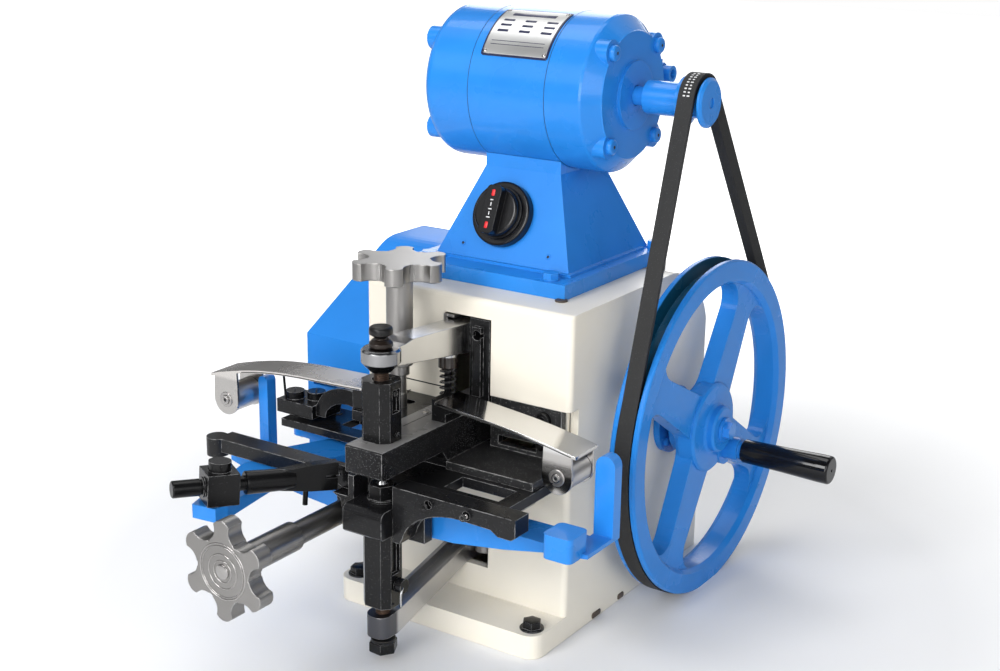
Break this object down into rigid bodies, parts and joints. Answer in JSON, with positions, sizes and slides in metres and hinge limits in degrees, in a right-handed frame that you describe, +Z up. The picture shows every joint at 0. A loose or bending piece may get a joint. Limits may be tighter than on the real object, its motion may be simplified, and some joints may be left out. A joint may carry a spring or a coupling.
{
  "type": "saw tooth setting machine",
  "caption": "Motor-driven saw blade tooth setter: belt and crank flywheel, rocking upper and lower setting levers, sprung rollers and a screw-set depth carriage on a cast base.",
  "frame": {"origin": "centre of the base casting's rectangular footprint, on its underside", "axes": "+Z up, +X along the saw blade towards the flywheel, -Y towards the front of the machine"},
  "size_m": [0.5498, 0.6795, 0.6005],
  "materials": {
    "cream_paint": "semi-gloss paint on the casting",
    "blue_paint": "gloss paint",
    "black_iron": "blackened, lightly speckled",
    "black_steel": "blackened and oiled",
    "steel": "ground and polished",
    "belt_rubber": "dull",
    "black_plastic": "smooth"
  },
  "bodies": {
    "frame": {"base_casting": "cream_paint", "side_cover": "blue_paint", "stand": "blue_paint", "stand_bolts": "blue_paint", "switch_body": "black_plastic", "motor_shell": "blue_paint", "motor_bell_left": "blue_paint", "motor_bell_right": "blue_paint", "motor_tie_bolts": "blue_paint", "stator": "steel", "motor_bearings": "steel", "motor_gland": "blue_paint", "drive_belt": "belt_rubber", "shaft_bearings": "blue_paint", "beam": "black_iron", "beam_screws": "black_steel", "upper_post": "black_steel", "upper_bracket": "black_steel", "lever_pins": "steel", "spring_guide": "black_steel", "return_spring": "black_steel", "lower_block": "black_iron", "lower_post": "black_steel", "lower_nut": "black_steel", "table_frame": "black_iron", "left_table": "black_iron", "right_table": "black_iron", "leaf_seats": "black_steel", "clamp_bracket": "black_steel", "clamp_block": "black_iron", "feed_pivot": "steel"},
    "switch": {"rotary_switch": "black_plastic"},
    "motor_rotor": {"rotor": "steel", "motor_pulley": "blue_paint"},
    "wheel": {"flywheel": "blue_paint", "camshaft": "steel", "setting_cam": "steel", "feed_cam": "steel", "crank_peg": "blue_paint"},
    "crank_handle": {"crank_grip": "black_plastic"},
    "upper_arm": {"upper_lever": "steel", "upper_follower": "steel"},
    "upper_screw": {"upper_adjuster": "black_steel"},
    "upper_plunger": {"upper_punch": "steel"},
    "lower_arm": {"lower_lever": "steel", "lower_follower": "steel"},
    "lower_screw": {"lower_adjuster": "black_steel"},
    "lower_plunger": {"lower_punch": "steel"},
    "left_spring": {"leaf_left": "steel"},
    "left_roller": {"roller_left": "steel"},
    "right_spring": {"leaf_right": "steel"},
    "right_roller": {"roller_right": "steel"},
    "spindle": {"clamp_spindle": "steel"},
    "depth_carriage": {"carriage": "blue_paint", "guide_rods": "steel"},
    "depth_screw": {"adjusting_rod": "steel"},
    "feed_arm": {"feed_lever": "blue_paint", "feed_block": "black_steel"},
    "feed_link": {"feed_rod": "steel"},
    "finger": {"feed_finger": "black_steel"}
  },
  "joints": [
    {"name": "wheel_spin", "type": "hinge", "parent": "frame", "child": "wheel", "pos_m": [0.162, 0.0895, 0.174], "axis": [1, 0, 0], "continuous": true},
    {"name": "motor_spin", "type": "hinge", "parent": "frame", "child": "motor_rotor", "pos_m": [0, 0.037, 0.5185], "axis": [1, 0, 0], "continuous": true},
    {"name": "crank_grip_spin", "type": "hinge", "parent": "wheel", "child": "crank_handle", "pos_m": [0.1958, 0.11991, 0.14359], "axis": [1, 0, 0], "continuous": true},
    {"name": "upper_rock", "type": "hinge", "parent": "frame", "child": "upper_arm", "pos_m": [-0.006, -0.0755, 0.292], "axis": [1, 0, 0], "range_deg": [0, 0.7], "stiffness_Nm_per_rad": 300, "springref_deg": -1.72, "deforming": ["return_spring"]},
    {"name": "lower_rock", "type": "hinge", "parent": "frame", "child": "lower_arm", "pos_m": [-0.006, -0.0755, 0.074], "axis": [-1, 0, 0], "range_deg": [0, 0.7], "stiffness_Nm_per_rad": 300, "springref_deg": -1.72},
    {"name": "upper_punch_slide", "type": "slide", "parent": "frame", "child": "upper_plunger", "axis": [0, 0, -1], "range_m": [0, 0.0021]},
    {"name": "lower_punch_slide", "type": "slide", "parent": "frame", "child": "lower_plunger", "axis": [0, 0, 1], "range_m": [0, 0.0021]},
    {"name": "upper_screw_turn", "type": "hinge", "parent": "upper_arm", "child": "upper_screw", "pos_m": [-0.005, -0.244, 0.3], "axis": [0, 0, 1], "range_deg": [-180, 180]},
    {"name": "lower_screw_turn", "type": "hinge", "parent": "lower_arm", "child": "lower_screw", "pos_m": [-0.005, -0.244, 0.036], "axis": [0, 0, 1], "range_deg": [-180, 180]},
    {"name": "feed_swing", "type": "hinge", "parent": "frame", "child": "feed_arm", "pos_m": [-0.08, -0.1395, 0.1575], "axis": [0, 0, 1], "range_deg": [0, 6.5]},
    {"name": "feed_link_pivot", "type": "hinge", "parent": "feed_arm", "child": "feed_link", "pos_m": [-0.19, -0.1395, 0.1575], "axis": [0, 0, 1], "range_deg": [-7, 1]},
    {"name": "finger_tilt", "type": "hinge", "parent": "feed_arm", "child": "finger", "pos_m": [-0.10954, -0.3461, 0.18691], "axis": [-0.514, -0.8555, 0.0628], "range_deg": [-5, 5]},
    {"name": "depth_knob_turn", "type": "hinge", "parent": "frame", "child": "depth_screw", "pos_m": [-0.05, -0.412, 0.142], "axis": [0, -1, 0], "range_deg": [-360, 4320]},
    {"name": "carriage_slide", "type": "slide", "parent": "frame", "child": "depth_carriage", "axis": [0, 1, 0], "range_m": [-0.0031, 0.0361]},
    {"name": "spindle_turn", "type": "hinge", "parent": "frame", "child": "spindle", "pos_m": [-0.047, -0.1605, 0.3], "axis": [0, 0, 1], "range_deg": [-180, 180]},
    {"name": "left_leaf_lift", "type": "hinge", "parent": "frame", "child": "left_spring", "pos_m": [-0.054, -0.185, 0.25], "axis": [0, 1, 0], "range_deg": [0, 2.5], "stiffness_Nm_per_rad": 120, "springref_deg": -1.72},
    {"name": "left_roller_spin", "type": "hinge", "parent": "left_spring", "child": "left_roller", "pos_m": [-0.236, -0.185, 0.204], "axis": [0, 1, 0], "continuous": true},
    {"name": "right_leaf_lift", "type": "hinge", "parent": "frame", "child": "right_spring", "pos_m": [0.016, -0.17, 0.246], "axis": [0, -1, 0], "range_deg": [0, 2.5], "stiffness_Nm_per_rad": 120, "springref_deg": -1.72},
    {"name": "right_roller_spin", "type": "hinge", "parent": "right_spring", "child": "right_roller", "pos_m": [0.152, -0.17, 0.204], "axis": [0, 1, 0], "continuous": true},
    {"name": "switch_turn", "type": "hinge", "parent": "frame", "child": "switch", "pos_m": [-0.0175, -0.02308, 0.394], "axis": [0, -0.9207, 0.3903], "range_deg": [-45, 45]}
  ],
  "couplings": [
    {"joint": "motor_spin", "follows": "wheel_spin", "ratio": 7.6667},
    {"joint": "upper_punch_slide", "follows": "upper_rock", "m_per_rad": 0.1685},
    {"joint": "lower_punch_slide", "follows": "lower_rock", "m_per_rad": 0.1685},
    {"joint": "feed_link_pivot", "follows": "feed_swing", "ratio": -1},
    {"joint": "carriage_slide", "follows": "depth_knob_turn", "m_per_rad": 0.00047746}
  ]
}
